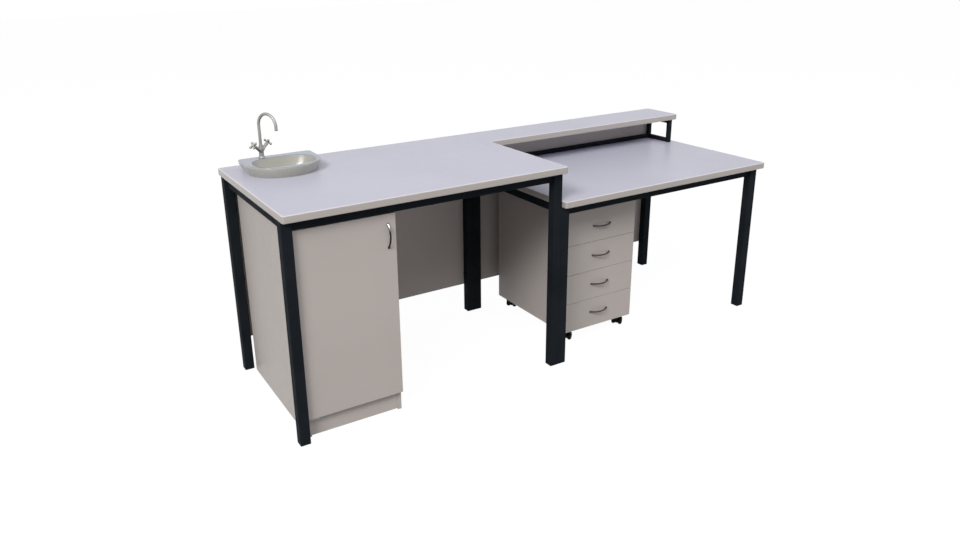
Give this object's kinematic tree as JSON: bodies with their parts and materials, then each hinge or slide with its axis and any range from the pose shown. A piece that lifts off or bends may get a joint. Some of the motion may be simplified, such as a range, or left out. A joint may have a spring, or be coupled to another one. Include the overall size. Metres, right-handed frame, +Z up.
{
  "type": "laboratory bench with sink and reagent shelf",
  "caption": "Two-level laboratory bench on a black tube frame: sink cabinet and tap under a high worktop that runs on as a reagent shelf over a desk-height top, with a mobile drawer pedestal.",
  "frame": {"origin": "on the floor, under the middle of the bench's bounding box", "axes": "+X to the right along the bench, +Y towards its rear, +Z up; the person works at the -Y side"},
  "size_m": [2.4, 0.8, 1.1346],
  "materials": {
    "laminate": "laminated board, smooth semi-gloss light grey",
    "edging": "ABS edging, semi-gloss warm grey",
    "grey_board": "melamine-faced board, satin warm light grey",
    "drawer_board": "melamine-faced board, satin white",
    "frame_coat": "fine powder coat, satin anthracite",
    "black_plastic": "moulded nylon, matte black",
    "wheel_rubber": "soft tread, matte black",
    "zinc_steel": "zinc-plated steel, satin",
    "grey_coat": "fine powder coat in the boards' warm grey",
    "bright_chrome": "polished chrome",
    "dark_chrome": "dark polished chrome",
    "satin_nickel": "satin nickel plate",
    "brass": "plain brass and copper",
    "glazed_ceramic": "glossy off-white glaze",
    "white_plastic": "moulded polypropylene, white"
  },
  "bodies": {
    "bench": {"upper_worktop": "laminate", "lower_worktop": "laminate", "worktop_edging": "edging", "upper_frame_left_end": "frame_coat", "upper_frame_right_end": "frame_coat", "lower_frame_left_end": "frame_coat", "lower_frame_right_end": "frame_coat", "upper_frame_rails": "frame_coat", "lower_frame_rails": "frame_coat", "leg_plugs": "black_plastic", "frame_fasteners": "frame_coat", "shelf_frame": "frame_coat", "shelf_back_panel": "grey_board", "upper_modesty_panel": "grey_board", "lower_modesty_panel": "grey_board", "panel_screws": "zinc_steel", "cabinet_left_side": "grey_board", "cabinet_right_side": "grey_board", "cabinet_bottom": "grey_board", "cabinet_back": "grey_board", "cabinet_stretchers": "grey_board", "cabinet_plinth": "grey_board", "door_pivot_brackets": "grey_coat", "basin": "glazed_ceramic", "basin_waste": "bright_chrome", "bottle_trap": "white_plastic", "waste_pipe": "white_plastic", "tap_body": "satin_nickel", "tap_fixing": "brass"},
    "door": {"cabinet_door": "grey_board", "door_handle": "bright_chrome", "door_pivots": "zinc_steel"},
    "spout": {"tap_spout": "satin_nickel"},
    "left_tap_handle": {"tap_handle_left": "satin_nickel"},
    "right_tap_handle": {"tap_handle_right": "satin_nickel"},
    "pedestal": {"pedestal_sides": "grey_board", "pedestal_top": "grey_board", "pedestal_bottom": "grey_board", "pedestal_back": "grey_board", "pedestal_runners": "zinc_steel"},
    "drawer_1": {"drawer_1_front": "grey_board", "drawer_1_box": "drawer_board", "drawer_1_handle": "dark_chrome"},
    "drawer_2": {"drawer_2_front": "grey_board", "drawer_2_box": "drawer_board", "drawer_2_handle": "dark_chrome"},
    "drawer_3": {"drawer_3_front": "grey_board", "drawer_3_box": "drawer_board", "drawer_3_handle": "dark_chrome"},
    "drawer_4": {"drawer_4_front": "grey_board", "drawer_4_box": "drawer_board", "drawer_4_handle": "dark_chrome"},
    "caster_front_left": {"caster_front_left_housing": "black_plastic"},
    "wheels_front_left": {"caster_front_left_wheels": "wheel_rubber"},
    "caster_front_right": {"caster_front_right_housing": "black_plastic"},
    "wheels_front_right": {"caster_front_right_wheels": "wheel_rubber"},
    "caster_rear_left": {"caster_rear_left_housing": "black_plastic"},
    "wheels_rear_left": {"caster_rear_left_wheels": "wheel_rubber"},
    "caster_rear_right": {"caster_rear_right_housing": "black_plastic"},
    "wheels_rear_right": {"caster_rear_right_wheels": "wheel_rubber"}
  },
  "joints": [
    {"name": "door_swing", "type": "hinge", "parent": "bench", "child": "door", "pos_m": [-1.15, -0.3475, 0.4565], "axis": [0, 0, -1], "range_deg": [0, 90]},
    {"name": "spout_swivel", "type": "hinge", "parent": "bench", "child": "spout", "pos_m": [-1.045, 0.282, 0.989], "axis": [0, 0, 1], "range_deg": [-90, 90]},
    {"name": "left_tap_turn", "type": "hinge", "parent": "bench", "child": "left_tap_handle", "pos_m": [-1.07693, 0.26573, 1.00004], "axis": [-0.7208, -0.3673, 0.5878], "range_deg": [0, 180]},
    {"name": "right_tap_turn", "type": "hinge", "parent": "bench", "child": "right_tap_handle", "pos_m": [-1.01307, 0.29827, 1.00004], "axis": [0.7208, 0.3673, 0.5878], "range_deg": [0, 180]},
    {"name": "pedestal_roll", "type": "slide", "parent": "bench", "child": "pedestal", "axis": [0, -1, 0], "range_m": [0, 0.6]},
    {"name": "drawer_1_slide", "type": "slide", "parent": "pedestal", "child": "drawer_1", "axis": [0, -1, 0], "range_m": [0, 0.34]},
    {"name": "drawer_2_slide", "type": "slide", "parent": "pedestal", "child": "drawer_2", "axis": [0, -1, 0], "range_m": [0, 0.34]},
    {"name": "drawer_3_slide", "type": "slide", "parent": "pedestal", "child": "drawer_3", "axis": [0, -1, 0], "range_m": [0, 0.34]},
    {"name": "drawer_4_slide", "type": "slide", "parent": "pedestal", "child": "drawer_4", "axis": [0, -1, 0], "range_m": [0, 0.34]},
    {"name": "front_left_caster_swivel", "type": "hinge", "parent": "pedestal", "child": "caster_front_left", "pos_m": [0.162, -0.206, 0.062], "axis": [0, 0, 1], "continuous": true},
    {"name": "front_left_wheel_spin", "type": "hinge", "parent": "caster_front_left", "child": "wheels_front_left", "pos_m": [0.17511, -0.19682, 0.02], "axis": [0.5736, -0.8192, 0], "continuous": true},
    {"name": "front_right_caster_swivel", "type": "hinge", "parent": "pedestal", "child": "caster_front_right", "pos_m": [0.474, -0.206, 0.062], "axis": [0, 0, 1], "continuous": true},
    {"name": "front_right_wheel_spin", "type": "hinge", "parent": "caster_front_right", "child": "wheels_front_right", "pos_m": [0.48711, -0.19682, 0.02], "axis": [0.5736, -0.8192, 0], "continuous": true},
    {"name": "rear_left_caster_swivel", "type": "hinge", "parent": "pedestal", "child": "caster_rear_left", "pos_m": [0.162, 0.246, 0.062], "axis": [0, 0, 1], "continuous": true},
    {"name": "rear_left_wheel_spin", "type": "hinge", "parent": "caster_rear_left", "child": "wheels_rear_left", "pos_m": [0.17511, 0.25518, 0.02], "axis": [0.5736, -0.8192, 0], "continuous": true},
    {"name": "rear_right_caster_swivel", "type": "hinge", "parent": "pedestal", "child": "caster_rear_right", "pos_m": [0.474, 0.246, 0.062], "axis": [0, 0, 1], "continuous": true},
    {"name": "rear_right_wheel_spin", "type": "hinge", "parent": "caster_rear_right", "child": "wheels_rear_right", "pos_m": [0.48711, 0.25518, 0.02], "axis": [0.5736, -0.8192, 0], "continuous": true}
  ]
}
